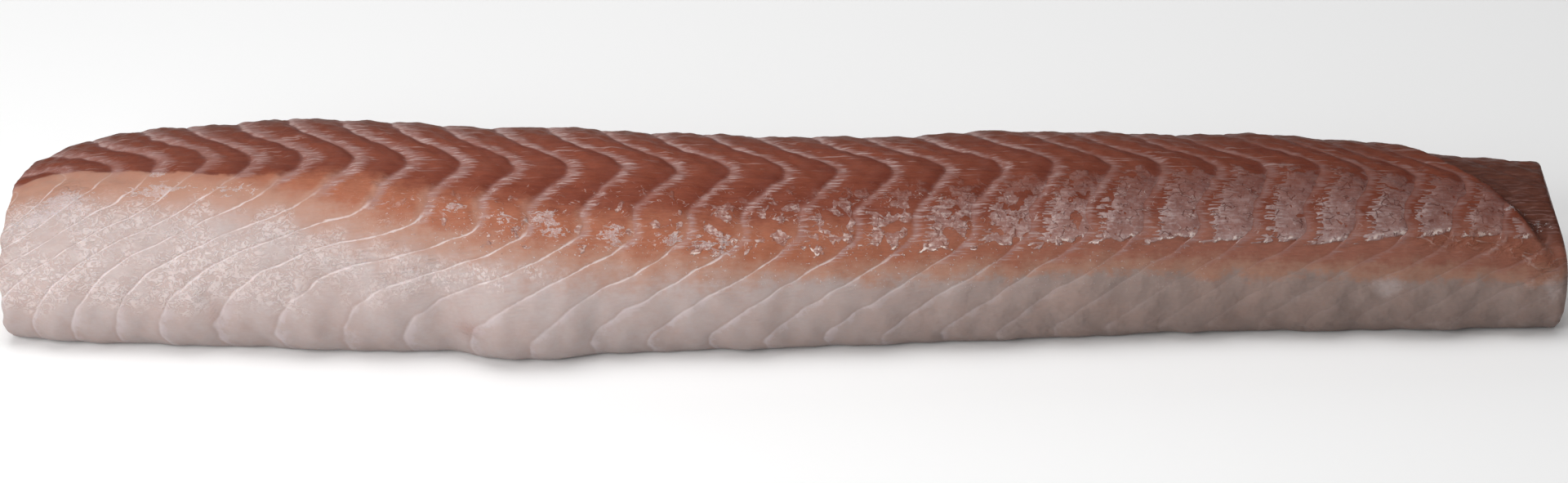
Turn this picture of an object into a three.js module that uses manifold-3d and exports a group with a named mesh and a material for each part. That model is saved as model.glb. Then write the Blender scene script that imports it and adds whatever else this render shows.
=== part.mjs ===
// A pollock loin: the thick back muscle of one fillet, skinned, cut across at both ends and laid down
// with the skinned side up. It is one solid piece of fish, and its flakes show as relief.
import * as THREE from "three";
import { mergeVertices } from "three/addons/utils/BufferGeometryUtils.js";
import Module from "manifold-3d";

// Driving dimensions in millimetres. X runs from the head end to the tail end, Y from the rounded
// back of the fish in front to the knife cut behind, and Z up from the table.
const LENGTH = 320;
const FLAKES = 30;
const FLAKE_PITCH = LENGTH / FLAKES;
const HALF = LENGTH / 2;

// Where the tips of some flakes' edges lie along the loin, each one [flake, x]. The rest are spaced
// smoothly between them, and the flakes are a little shorter towards both ends.
const FLAKE_TIPS = [
  [-17, -177],
  [-13, -138.6],
  [-9, -98.8],
  [0, -0.2],
  [9, 99],
  [13, 139.5],
  [22, 229],
];

// How far the front edge stands back, and the section's width and height, at places along the loin.
const STATIONS = [
  { x: -HALF, front: 8.5, width: 43, height: 25 },
  { x: -145.5, front: 6.2, width: 53.5, height: 29.2 },
  { x: -110, front: 3.8, width: 59, height: 33 },
  { x: -57, front: 0.8, width: 60, height: 32.8 },
  { x: 0, front: 3.6, width: 55, height: 30.9 },
  { x: 57, front: 7.6, width: 53.5, height: 30.5 },
  { x: 85, front: 10, width: 51, height: 29.7 },
  { x: 113.5, front: 10.4, width: 50, height: 28.7 },
  { x: HALF, front: 12, width: 42.5, height: 25.4 },
];

// The section's four rounded quarters, as shares of its width and height, and how square each one is.
const CREST_SHARE = 0.43;
const FRONT_BULGE_SHARE = 0.3;
const BACK_BULGE_SHARE = 0.34;
const FOOT_DEPTH = 8;
const HEEL_DEPTH = 6;
const FRONT_SQUARENESS = 2.15;
const BACK_SQUARENESS = 2.35;
const FOOT_SQUARENESS = 2;
const SOLE_TRIM = 0.8;

// Places round the girth, as shares of it from the middle of the sole, over the front, to the back.
const FOOT = 0.19;
const KNEE_LOW = 0.332;
const KNEE_HIGH = 0.38;
const TIP = 0.476;
const UPPER_ARM = 0.55;
const SKYLINE = 0.63;
const BACK_EDGE = 0.7;
const HEEL = 0.82;

// How far a flake's edge lies towards the head, against its tip, at those places. Towards the head
// end the knee climbs closer to the tip.
const FOOT_LEANS = [
  [-155, 43.5],
  [-125, 49],
  [-90, 45],
  [-50, 40],
  [0, 36.5],
  [60, 33],
  [HALF, 33],
];
const FOOT_CURL = { share: 0.05, lean: 7 };
const KNEE_LEAN = 3.2;
const KNEE_GAIN = { lean: 5, x: -15, reach: 70 };
const KNEE_BEND = { lean: 1.6, atHead: 9, from: -115, to: -60 };
const KNEE_RISE = { share: 0.055, start: -102, reach: 42, clearOfTip: 0.051 };
const UPPER_ARM_LEAN = 12;
const SKYLINE_LEAN = 17;
const BACK_EDGE_LEAN = 20;
const HEEL_LEAN = 8;
const SOLE_LEAN = 25;

// Relief over the smooth section. It fades out close to the table.
const GIRTH_PER_SIZE = 1.68;
const FLAKE = { bulge: 0.38, roundness: 0.7, groove: 0.3, grooveReach: 0.6 };
const TAIL_SMOOTH = { share: 0.75, span: [20, 90], shares: [0.27, 0.33] };
const RELIEF_FADE_HEIGHT = 3;
const LUMP = { height: 0.5, lengths: [47, 29, 71], turns: [2, 3, 1] };
const FOOT_SWELL = { share: 0.23, shareReach: 0.07 };
const FOOT_LOBE = { x: -53, reach: 14, height: 2.4, flatness: 4 };
const FOOT_NOTCH = { x: -69, reach: 7, height: 2.6 };
const FILM_LEDGE = { height: 0.5, span: [20, 75], share: 0.318, run: 0.008, fades: [0.36, 0.46] };
const FILM_FOOT = { scallop: 0.012, rise: 0.02, riseSpan: [108, 140] };
const TAIL_STEP = { depth: 1.9, edge: 2.4, reach: 26, shares: [0.27, 0.36] };
const TAIL_CREASE = [
  { x: 118, share: 0.66 },
  { x: 130, share: 0.598 },
  { x: 138, share: 0.517 },
  { x: 143, share: 0.474 },
  { x: 147, share: 0.427 },
  { x: 151, share: 0.376 },
  { x: 160, share: 0.262 },
];

// The two knife cuts across the loin.
const HEAD_CUT = { bulge: 1.6, bulgeHeight: 15, bulgeReach: 12, slantStart: 33, slant: 0.2 };
const HEAD_CUT_WAVE = { height: 0.22, yLengths: [17, 29], zLengths: [23, 11] };
const TAIL_CUT = { height: 14, topCurl: 0.0254, footCurl: 0.0066, backStart: 44, backCurl: 0.02 };

// How finely the solid is faceted.
const RING_POINTS = 48;
const COLUMN_SHARES = [0, 0.14, 0.5, 0.86];
const TRIM_BLOCK = { depth: 90, height: 60, inFront: 12, across: 28, up: 18 };

const flesh = new THREE.MeshStandardMaterial({ color: 0xb0806c, roughness: 0.35, metalness: 0 });

const clamp = THREE.MathUtils.clamp;
const smoothstep = THREE.MathUtils.smoothstep;

// A smooth curve through points, each one [place, value], by cubic Hermite spans.
function through(points, place) {
  const slope = (i) => {
    const before = points[Math.max(i - 1, 0)];
    const after = points[Math.min(i + 1, points.length - 1)];
    return (after[1] - before[1]) / (after[0] - before[0]);
  };
  const last = points.length - 2;
  const found = points.findIndex((point, i) => i > 0 && place < point[0]) - 1;
  const i = found < 0 ? (place < points[0][0] ? 0 : last) : found;
  const [x0, y0] = points[i];
  const [x1, y1] = points[i + 1];
  const span = x1 - x0;
  const t = clamp((place - x0) / span, 0, 1);
  const rise = t * t * (3 - 2 * t);
  const out = t * (1 - t) * (1 - t) * span * slope(i);
  const back = t * t * (t - 1) * span * slope(i + 1);
  return y0 + (y1 - y0) * rise + out + back;
}

function bell(x, centre, reach, flatness = 2) {
  return Math.exp(-(Math.abs((x - centre) / reach) ** flatness));
}

// One cross-section: sole, foot, rounded front, crest, back and heel, as six stretches of t.
class Section extends THREE.Curve {
  constructor(front, width, height) {
    super();
    Object.assign(this, { front, width, height });
    this.arcLengthDivisions = 3000;
  }

  getPoint(t, target = new THREE.Vector2()) {
    const { front, width, height } = this;
    const crest = CREST_SHARE * width;
    const frontBulge = FRONT_BULGE_SHARE * height;
    const backBulge = BACK_BULGE_SHARE * height;
    const stretch = Math.min(Math.floor(t * 6), 5);
    const along = t * 6 - stretch;
    const quarter = (squareness) => {
      const turn = (along * Math.PI) / 2;
      return [Math.cos(turn) ** (2 / squareness), Math.sin(turn) ** (2 / squareness)];
    };
    let y = 0;
    let z = -SOLE_TRIM;
    if (stretch === 0) y = THREE.MathUtils.lerp(width / 2, FOOT_DEPTH, along);
    if (stretch === 1) {
      const [c, s] = quarter(FOOT_SQUARENESS);
      y = FOOT_DEPTH * (1 - s);
      z = frontBulge - (frontBulge + SOLE_TRIM) * c;
    }
    if (stretch === 2) {
      const [c, s] = quarter(FRONT_SQUARENESS);
      y = crest * (1 - c);
      z = frontBulge + (height - frontBulge) * s;
    }
    if (stretch === 3) {
      const [c, s] = quarter(BACK_SQUARENESS);
      y = crest + (width - crest) * s;
      z = backBulge + (height - backBulge) * c;
    }
    if (stretch === 4) {
      const [c, s] = quarter(FOOT_SQUARENESS);
      y = width - HEEL_DEPTH * (1 - c);
      z = backBulge - (backBulge + SOLE_TRIM) * s;
    }
    if (stretch === 5) y = THREE.MathUtils.lerp(width - HEEL_DEPTH, width / 2, along);
    return target.set(front + y, z);
  }
}

function sectionAt(x) {
  const size = (name) => through(STATIONS.map((station) => [station.x, station[name]]), x);
  return new Section(size("front"), size("width"), size("height"));
}

// How far a flake's edge lies towards the head at one place round the girth: a chevron with its tip
// under the crest, an upright knee where the red muscle ends and a long slant over the pale front.
function lean(x, share) {
  const rise = KNEE_RISE.share * Math.exp(-(Math.max(x, -HALF) - KNEE_RISE.start) / KNEE_RISE.reach);
  const lift = Math.min(rise, TIP - KNEE_HIGH - KNEE_RISE.clearOfTip);
  const knee = KNEE_LEAN + KNEE_GAIN.lean * bell(x, KNEE_GAIN.x, KNEE_GAIN.reach);
  const headBend = (KNEE_BEND.atHead - KNEE_BEND.lean) * (1 - smoothstep(x, KNEE_BEND.from, KNEE_BEND.to));
  const bend = KNEE_BEND.lean + headBend;
  const foot = through(FOOT_LEANS, x);
  const edge = [
    [HEEL - 1, HEEL_LEAN],
    [0, SOLE_LEAN],
    [FOOT, foot],
    [FOOT + FOOT_CURL.share + lift, foot - FOOT_CURL.lean],
    [KNEE_LOW + lift, knee + bend],
    [KNEE_HIGH + lift, knee],
    [TIP, 0],
    [UPPER_ARM, UPPER_ARM_LEAN],
    [SKYLINE, SKYLINE_LEAN],
    [BACK_EDGE, BACK_EDGE_LEAN],
    [HEEL, HEEL_LEAN],
    [1, SOLE_LEAN],
    [1 + FOOT, foot],
  ];
  return -through(edge, share);
}

// Signed distance, in millimetres of girth, past the crease that crosses the tail's upper corner.
function pastCrease(x, share, girth) {
  if (x < TAIL_CREASE[0].x) return -HALF;
  const crease = through(TAIL_CREASE.map((point) => [point.x, point.share]), x);
  return share > BACK_EDGE ? -HALF : (share - crease) * girth;
}

// Height of the surface over the smooth section, at a phase of 0 on a flake's edge.
function relief(x, share, phase, height, girth) {
  const part = phase - Math.floor(phase);
  const fade = smoothstep(height, 0, RELIEF_FADE_HEIGHT);
  const fromEdge = Math.min(part, 1 - part) * FLAKE_PITCH;
  const bulge = FLAKE.bulge * Math.sin(Math.PI * part) ** FLAKE.roundness;
  const smooth = smoothstep(x, ...TAIL_SMOOTH.span) * (1 - smoothstep(share, ...TAIL_SMOOTH.shares));
  const groove = FLAKE.groove * bell(fromEdge, 0, FLAKE.grooveReach);
  const flake = (bulge - groove) * (1 - TAIL_SMOOTH.share * smooth);
  const turn = 2 * Math.PI;
  const wave = (length, i) => Math.sin((turn * x) / length + turn * LUMP.turns[i] * share);
  const lumps = LUMP.lengths.reduce((sum, length, i) => sum + wave(length, i), 0) / 3;
  const low = bell(share, FOOT_SWELL.share, FOOT_SWELL.shareReach);
  const lobe = FOOT_LOBE.height * bell(x, FOOT_LOBE.x, FOOT_LOBE.reach, FOOT_LOBE.flatness);
  const notch = FOOT_NOTCH.height * bell(x, FOOT_NOTCH.x, FOOT_NOTCH.reach);
  const film = FILM_LEDGE.height * smoothstep(x, ...FILM_LEDGE.span);
  const risen = FILM_FOOT.rise * smoothstep(x, ...FILM_FOOT.riseSpan);
  const filmFoot = FILM_LEDGE.share + FILM_FOOT.scallop * part + risen;
  const overLedge = smoothstep(share, filmFoot, filmFoot + FILM_LEDGE.run);
  const ledge = film * overLedge * (1 - smoothstep(share, ...FILM_LEDGE.fades));
  const past = pastCrease(x, share, girth);
  const step = TAIL_STEP.depth * smoothstep(past, 0, TAIL_STEP.edge);
  const onFacet = smoothstep(share, ...TAIL_STEP.shares) * (1 - smoothstep(share, SKYLINE, BACK_EDGE));
  const tail = -step * onFacet * Math.exp(-Math.max(past, 0) / TAIL_STEP.reach);
  return fade * (flake + LUMP.height * lumps + ledge + tail) + low * (lobe - notch);
}

// A closed mesh as a manifold-3d solid, and back again.
function solidFrom(wasm, geometry) {
  geometry.deleteAttribute("normal");
  geometry.deleteAttribute("uv");
  const merged = mergeVertices(geometry, 1e-4);
  const vertProperties = Float32Array.from(merged.attributes.position.array);
  return new wasm.Manifold(
    new wasm.Mesh({ numProp: 3, vertProperties, triVerts: Uint32Array.from(merged.index.array) }),
  );
}

function geometryFrom(solid) {
  const mesh = solid.getMesh();
  const geometry = new THREE.BufferGeometry();
  geometry.setAttribute("position", new THREE.BufferAttribute(mesh.vertProperties, 3));
  geometry.setIndex(new THREE.BufferAttribute(mesh.triVerts, 1));
  geometry.computeVertexNormals();
  return geometry;
}

// The uncut side of fish, longer than the loin. Its columns of points follow the flakes' edges.
function uncutSide() {
  const mean = sectionAt(0);
  const spaced = Array.from({ length: RING_POINTS }, (_, i) => mean.getUtoTmapping(i / RING_POINTS));
  const [[firstFlake], [lastFlake]] = [FLAKE_TIPS[0], FLAKE_TIPS[FLAKE_TIPS.length - 1]];
  const phases = [];
  for (let flake = firstFlake; flake < lastFlake; flake++) {
    for (const share of COLUMN_SHARES) phases.push(flake + share);
  }
  const positions = [];
  for (const phase of phases) {
    spaced.forEach((t, i) => {
      const share = i / RING_POINTS;
      const tip = through(FLAKE_TIPS, phase);
      let x = tip;
      for (let pass = 0; pass < 4; pass++) x = tip + lean(x, share);
      const section = sectionAt(clamp(x, -HALF, HALF));
      const point = section.getPoint(t);
      const tangent = section.getTangent(clamp(t, 0.001, 0.999));
      const girth = GIRTH_PER_SIZE * (section.width + section.height);
      const lift = relief(x, share, phase, point.y, girth);
      positions.push(x, point.x - tangent.y * lift, point.y + tangent.x * lift);
    });
  }
  const columns = phases.length;
  const index = [];
  const corner = (column, i) => column * RING_POINTS + (i % RING_POINTS);
  for (let column = 0; column < columns - 1; column++) {
    for (let i = 0; i < RING_POINTS; i++) {
      const [a, b] = [corner(column, i), corner(column, i + 1)];
      const [c, d] = [corner(column + 1, i), corner(column + 1, i + 1)];
      index.push(a, c, b, b, c, d);
    }
  }
  for (const column of [0, columns - 1]) {
    const hub = positions.length / 3;
    const ring = Array.from({ length: RING_POINTS }, (_, i) => corner(column, i));
    const middle = [0, 1, 2].map((axis) => {
      return ring.reduce((sum, point) => sum + positions[point * 3 + axis], 0) / RING_POINTS;
    });
    positions.push(...middle);
    for (let i = 0; i < RING_POINTS; i++) {
      const [a, b] = [corner(column, i), corner(column, i + 1)];
      index.push(...(column === 0 ? [hub, a, b] : [hub, b, a]));
    }
  }
  const geometry = new THREE.BufferGeometry();
  geometry.setAttribute("position", new THREE.Float32BufferAttribute(positions, 3));
  geometry.setIndex(index);
  return geometry;
}

// Where the knife went through, as X over the end of the loin.
function headCut(y, z) {
  const bulge = HEAD_CUT.bulge * bell(z, HEAD_CUT.bulgeHeight, HEAD_CUT.bulgeReach);
  const slant = HEAD_CUT.slant * Math.max(y - HEAD_CUT.slantStart, 0);
  const wave = (i) => Math.sin(2 * Math.PI * (y / HEAD_CUT_WAVE.yLengths[i] + z / HEAD_CUT_WAVE.zLengths[i]));
  return -HALF + HEAD_CUT.bulge - bulge + slant + HEAD_CUT_WAVE.height * (wave(0) + wave(1));
}

function tailCut(y, z) {
  const curl = (z > TAIL_CUT.height ? TAIL_CUT.topCurl : TAIL_CUT.footCurl) * (z - TAIL_CUT.height) ** 2;
  return HALF - curl - TAIL_CUT.backCurl * Math.max(y - TAIL_CUT.backStart, 0) ** 2;
}

// The block that both knife cuts and the table leave of the side of fish.
function trimBlock() {
  const { depth, height, inFront, across, up } = TRIM_BLOCK;
  const block = new THREE.BoxGeometry(LENGTH, depth, height, 1, across, up);
  block.translate(0, depth / 2 - inFront, height / 2);
  const position = block.attributes.position;
  for (let i = 0; i < position.count; i++) {
    const [y, z] = [position.getY(i), position.getZ(i)];
    position.setX(i, position.getX(i) < 0 ? headCut(y, z) : tailCut(y, z));
  }
  return block;
}

function pollockLoin(wasm) {
  const side = solidFrom(wasm, uncutSide());
  const block = solidFrom(wasm, trimBlock());
  const geometry = geometryFrom(side.intersect(block));
  geometry.computeBoundingBox();
  const centre = geometry.boundingBox.getCenter(new THREE.Vector3());
  const loin = new THREE.Mesh(geometry, flesh);
  loin.name = "pollock_loin";
  loin.position.set(-centre.x, -centre.y, 0);
  return loin;
}

const wasm = await Module();
wasm.setup();

const part = new THREE.Group();
part.add(pollockLoin(wasm));

export default part;
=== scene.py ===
import math

import bmesh
import bpy
import numpy as np
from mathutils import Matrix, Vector


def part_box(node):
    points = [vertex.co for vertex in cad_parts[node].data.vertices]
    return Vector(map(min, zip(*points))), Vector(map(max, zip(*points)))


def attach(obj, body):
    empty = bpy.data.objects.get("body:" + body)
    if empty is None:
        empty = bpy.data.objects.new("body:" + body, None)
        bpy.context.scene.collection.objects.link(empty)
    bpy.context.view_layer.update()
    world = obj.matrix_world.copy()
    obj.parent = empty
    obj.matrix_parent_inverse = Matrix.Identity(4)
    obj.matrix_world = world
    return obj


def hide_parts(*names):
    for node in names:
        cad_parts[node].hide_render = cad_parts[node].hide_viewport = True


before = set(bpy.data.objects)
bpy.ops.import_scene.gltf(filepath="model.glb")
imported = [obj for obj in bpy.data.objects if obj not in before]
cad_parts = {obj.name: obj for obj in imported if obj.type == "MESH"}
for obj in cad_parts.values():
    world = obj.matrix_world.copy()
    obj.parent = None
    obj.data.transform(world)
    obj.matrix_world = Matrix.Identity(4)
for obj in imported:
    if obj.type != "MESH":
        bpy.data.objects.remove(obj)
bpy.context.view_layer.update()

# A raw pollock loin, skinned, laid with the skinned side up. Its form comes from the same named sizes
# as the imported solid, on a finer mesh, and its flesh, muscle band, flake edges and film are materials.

# Lengths are in millimetres until a mesh, light or camera is made. MM turns them into metres.
MM = 0.001
LENGTH = 320
FLAKES = 30
FLAKE_PITCH = LENGTH / FLAKES
HALF = LENGTH / 2

# Where the tips of some flakes' edges lie along the loin, each one (flake, x).
FLAKE_TIPS = ((-17, -177), (-13, -138.6), (-9, -98.8), (0, -0.2), (9, 99), (13, 139.5), (22, 229))

# The section at places along the loin, as (x, front edge, width, height).
STATIONS = (
    (-HALF, 8.5, 43, 25),
    (-145.5, 6.2, 53.5, 29.2),
    (-110, 3.8, 59, 33),
    (-57, 0.8, 60, 32.8),
    (0, 3.6, 55, 30.9),
    (57, 7.6, 53.5, 30.5),
    (85, 10, 51, 29.7),
    (113.5, 10.4, 50, 28.7),
    (HALF, 12, 42.5, 25.4),
)

# The section's six stretches are half the sole, four rounded quarters and the sole's other half. The
# quarters are given as shares of its width and height, and by how square each one is.
STRETCHES = 6
CREST_SHARE = 0.43
FRONT_BULGE_SHARE = 0.3
BACK_BULGE_SHARE = 0.34
FOOT_DEPTH = 8
HEEL_DEPTH = 6
FRONT_SQUARENESS = 2.15
BACK_SQUARENESS = 2.35
FOOT_SQUARENESS = 2
SOLE_TRIM = 0.8

# Places round the girth, as shares of it from the middle of the sole, over the front, to the back.
FOOT = 0.19
KNEE_LOW = 0.332
KNEE_HIGH = 0.38
TIP = 0.476
UPPER_ARM = 0.55
SKYLINE = 0.63
BACK_EDGE = 0.7
HEEL = 0.82
GIRTH_PER_SIZE = 1.68

# How far a flake's edge lies towards the head, against its tip, at those places.
FOOT_LEANS = ((-155, 43.5), (-125, 49), (-90, 45), (-50, 40), (0, 36.5), (60, 33), (HALF, 33))
FOOT_CURL_SHARE = 0.05
FOOT_CURL_LEAN = 7
KNEE_LEAN = 3.2
KNEE_GAIN = 5
KNEE_GAIN_CENTRE = -15
KNEE_GAIN_REACH = 70
KNEE_BEND = 1.6
HEAD_KNEE_BEND = 9
HEAD_KNEE_SPAN = (-115, -60)
KNEE_RISE = 0.055
KNEE_RISE_START = -102
KNEE_RISE_REACH = 42
KNEE_CLEAR_OF_TIP = 0.051
UPPER_ARM_LEAN = 12
SKYLINE_LEAN = 17
BACK_EDGE_LEAN = 20
HEEL_LEAN = 8
SOLE_LEAN = 25

# How the flakes' edges wander, each wave as (depth, length along the loin, turns round the girth, start).
EDGE_WAVES = ((0.28, 23, 5, 0.4), (0.2, 11.3, 13, 2.1), (0.13, 7.1, -21, 4.4), (0.1, 31, 34, 1.3))

# Relief over the smooth section. It fades out close to the table.
FLAKE_BULGE = 0.2
BACK_BULGE_GAIN = 0.9
FLAKE_ROUNDNESS = 0.9
FLAKE_GROOVE = 0.05
GROOVE_REACH = 0.6
TAIL_SMOOTH = 0.75
TAIL_SMOOTH_SPAN = (20, 90)
TAIL_SMOOTH_SHARES = (0.27, 0.33)
RIPPLES = ((0.09, 9.1, 17, 0.7), (0.07, 5.3, -11, 3.9), (0.06, 3.7, 29, 5.2), (0.05, 14, 43, 2.6))
RELIEF_FADE_HEIGHT = 3
LUMP_HEIGHT = 0.5
LUMP_LENGTHS = (47, 29, 71)
LUMP_TURNS = (2, 3, 1)
FOOT_SWELL_SHARE = 0.23
FOOT_SWELL_REACH = 0.07
FOOT_LOBE_X = -53
FOOT_LOBE_REACH = 14
FOOT_LOBE_HEIGHT = 2.4
FOOT_NOTCH_X = -69
FOOT_NOTCH_REACH = 7
FOOT_NOTCH_DEPTH = 2.6
FOOT_WAVES = ((0.3, 23, 2, 0.6), (0.2, 13, -3, 2.2), (0.16, 7.7, 4, 5.1))
LEDGE_HEIGHT = 0.5
LEDGE_SPAN = (20, 75)
LEDGE_SHARE = 0.318
LEDGE_SCALLOP = 0.012
LEDGE_RISE = 0.02
LEDGE_RISE_SPAN = (108, 140)
LEDGE_RUN = 0.008
LEDGE_FADES = (0.36, 0.46)
TAIL_STEP_DEPTH = 1.9
TAIL_STEP_EDGE = 2.4
TAIL_STEP_REACH = 26
TAIL_STEP_SHARES = (0.27, 0.36)
TAIL_CREASE = (
    (118, 0.66),
    (130, 0.598),
    (138, 0.517),
    (143, 0.474),
    (147, 0.427),
    (151, 0.376),
    (160, 0.262),
)

# The two knife cuts across the loin, and the soft edge that they leave.
HEAD_BULGE = 1.6
HEAD_BULGE_HEIGHT = 15
HEAD_BULGE_REACH = 12
HEAD_SLANT_START = 33
HEAD_SLANT = 0.2
HEAD_WAVE = 0.22
HEAD_WAVE_LENGTHS = ((17, 23), (29, 11), (13, 4.7))
TAIL_CUT_HEIGHT = 14
TAIL_TOP_CURL = 0.0254
TAIL_FOOT_CURL = 0.0066
TAIL_BACK_START = 44
TAIL_BACK_CURL = 0.02
CUT_EDGE_RADIUS = 0.9

# How finely the loin is meshed: columns between two flakes' edges, and rows round the girth.
COLUMNS = (
    0, 0.025, 0.055, 0.1, 0.16, 0.23, 0.3, 0.37, 0.44,
    0.51, 0.58, 0.65, 0.72, 0.79, 0.85, 0.9, 0.945, 0.975,
)
ROWS = ((0, 0), (10, 0.16), (132, 0.72), (150, 0.86), (158, 1))
TABLE_STEPS = 3001
FLAKE_STEPS = 2000
SLOPE_STEP = 0.0001
SLOPE_ENDS = (0.001, 0.999)
CUT_ROUNDS = 6
EDGE_ROUNDS = 4
MERGE_DISTANCE = 0.01
CAP_RINGS = (0.985, 0.955, 0.91, 0.84, 0.75, 0.65, 0.54, 0.43, 0.32, 0.21, 0.1, 0)


def smoothstep(value, low, high):
    """From 0 at low to 1 at high, as a smooth step."""
    share = np.clip((value - low) / (high - low), 0, 1)
    return share * share * (3 - 2 * share)


def bell(value, centre, reach, flatness=2):
    """A bump of 1 at its centre that dies out past its reach."""
    return np.exp(-np.abs((value - centre) / reach) ** flatness)


def through(points, place):
    """A smooth curve through (place, value) points, by cubic Hermite spans, held level past its ends."""
    places = [np.broadcast_to(point[0], place.shape) for point in points]
    values = [np.broadcast_to(point[1], place.shape) for point in points]
    last = len(points) - 1
    slopes = []
    for i in range(last + 1):
        before, after = max(i - 1, 0), min(i + 1, last)
        slopes.append((values[after] - values[before]) / (places[after] - places[before]))
    result = np.array(values[0], float)
    for i in range(last):
        span = places[i + 1] - places[i]
        t = np.clip((place - places[i]) / span, 0, 1)
        rise = t * t * (3 - 2 * t)
        out = t * (1 - t) ** 2 * span * slopes[i]
        back = t * t * (t - 1) * span * slopes[i + 1]
        here = values[i] + (values[i + 1] - values[i]) * rise + out + back
        result = np.where(place >= places[i], here, result)
    return result


def section_size(x):
    """Front edge, width and height of the section at x."""
    return [through([(station[0], station[k]) for station in STATIONS], x) for k in (1, 2, 3)]


def section_point(t, front, width, height):
    """Y and Z of a point at t, from 0 to 1, round a section: sole, foot, front, back, heel and sole."""
    crest = CREST_SHARE * width
    front_bulge = FRONT_BULGE_SHARE * height
    back_bulge = BACK_BULGE_SHARE * height
    stretch = np.clip(np.floor(t * STRETCHES), 0, STRETCHES - 1)
    along = t * STRETCHES - stretch
    turn = along * math.pi / 2

    def quarter(squareness):
        power = 2 / squareness
        return np.clip(np.cos(turn), 0, 1) ** power, np.clip(np.sin(turn), 0, 1) ** power

    foot_c, foot_s = quarter(FOOT_SQUARENESS)
    front_c, front_s = quarter(FRONT_SQUARENESS)
    back_c, back_s = quarter(BACK_SQUARENESS)
    stretches = [stretch == k for k in range(STRETCHES)]
    half = width / 2
    y = np.select(
        stretches,
        [
            half + (FOOT_DEPTH - half) * along,
            FOOT_DEPTH * (1 - foot_s),
            crest * (1 - front_c),
            crest + (width - crest) * back_s,
            width - HEEL_DEPTH * (1 - foot_c),
            width - HEEL_DEPTH + (half - width + HEEL_DEPTH) * along,
        ],
    )
    level = np.full_like(y, -SOLE_TRIM)
    z = np.select(
        stretches,
        [
            level,
            front_bulge - (front_bulge + SOLE_TRIM) * foot_c,
            front_bulge + (height - front_bulge) * front_s,
            back_bulge + (height - back_bulge) * back_c,
            back_bulge - (back_bulge + SOLE_TRIM) * foot_s,
            level,
        ],
    )
    return front + y, z


def share_table():
    """Shares of the girth and the values of t that they fall at, on the loin's middle section."""
    t = np.linspace(0, 1, TABLE_STEPS)
    y, z = section_point(t, *section_size(np.zeros_like(t)))
    walked = np.concatenate([[0], np.cumsum(np.hypot(np.diff(y), np.diff(z)))])
    return walked / walked[-1], t


SHARE_OF_GIRTH, T_OF_GIRTH = share_table()


def waves(x, share, table):
    """A sum of slanted sine waves over the surface."""
    total = 0
    for depth, length, turns, start in table:
        total = total + depth * np.sin(math.tau * (x / length + turns * share) + start)
    return total


def lean(x, share):
    """How far a flake's edge lies from its tip, along the loin, at one place round the girth."""
    rise = KNEE_RISE * np.exp(-(np.maximum(x, -HALF) - KNEE_RISE_START) / KNEE_RISE_REACH)
    lift = np.minimum(rise, TIP - KNEE_HIGH - KNEE_CLEAR_OF_TIP)
    knee = KNEE_LEAN + KNEE_GAIN * bell(x, KNEE_GAIN_CENTRE, KNEE_GAIN_REACH)
    bend = HEAD_KNEE_BEND + (KNEE_BEND - HEAD_KNEE_BEND) * smoothstep(x, *HEAD_KNEE_SPAN)
    foot = through(FOOT_LEANS, x)
    edge = (
        (HEEL - 1, HEEL_LEAN),
        (0, SOLE_LEAN),
        (FOOT, foot),
        (FOOT + FOOT_CURL_SHARE + lift, foot - FOOT_CURL_LEAN),
        (KNEE_LOW + lift, knee + bend),
        (KNEE_HIGH + lift, knee),
        (TIP, 0),
        (UPPER_ARM, UPPER_ARM_LEAN),
        (SKYLINE, SKYLINE_LEAN),
        (BACK_EDGE, BACK_EDGE_LEAN),
        (HEEL, HEEL_LEAN),
        (1, SOLE_LEAN),
        (1 + FOOT, foot),
    )
    return waves(x, share, EDGE_WAVES) - through(edge, share)


def flake_at(x, share):
    """Which flake lies at a place, as a number that is whole on each flake's edge."""
    flakes = np.linspace(FLAKE_TIPS[0][0], FLAKE_TIPS[-1][0], FLAKE_STEPS)
    return np.interp(x - lean(x, share), through(FLAKE_TIPS, flakes), flakes)


def past_crease(x, share, girth):
    """Millimetres of girth past the crease that crosses the tail's upper corner."""
    past = (share - through(TAIL_CREASE, x)) * girth
    return np.where((x < TAIL_CREASE[0][0]) | (share > BACK_EDGE), -HALF, past)


def film_foot(x, part):
    """Share of the girth where the film over a flake ends towards the front."""
    return LEDGE_SHARE + LEDGE_SCALLOP * part + LEDGE_RISE * smoothstep(x, *LEDGE_RISE_SPAN)


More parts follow.
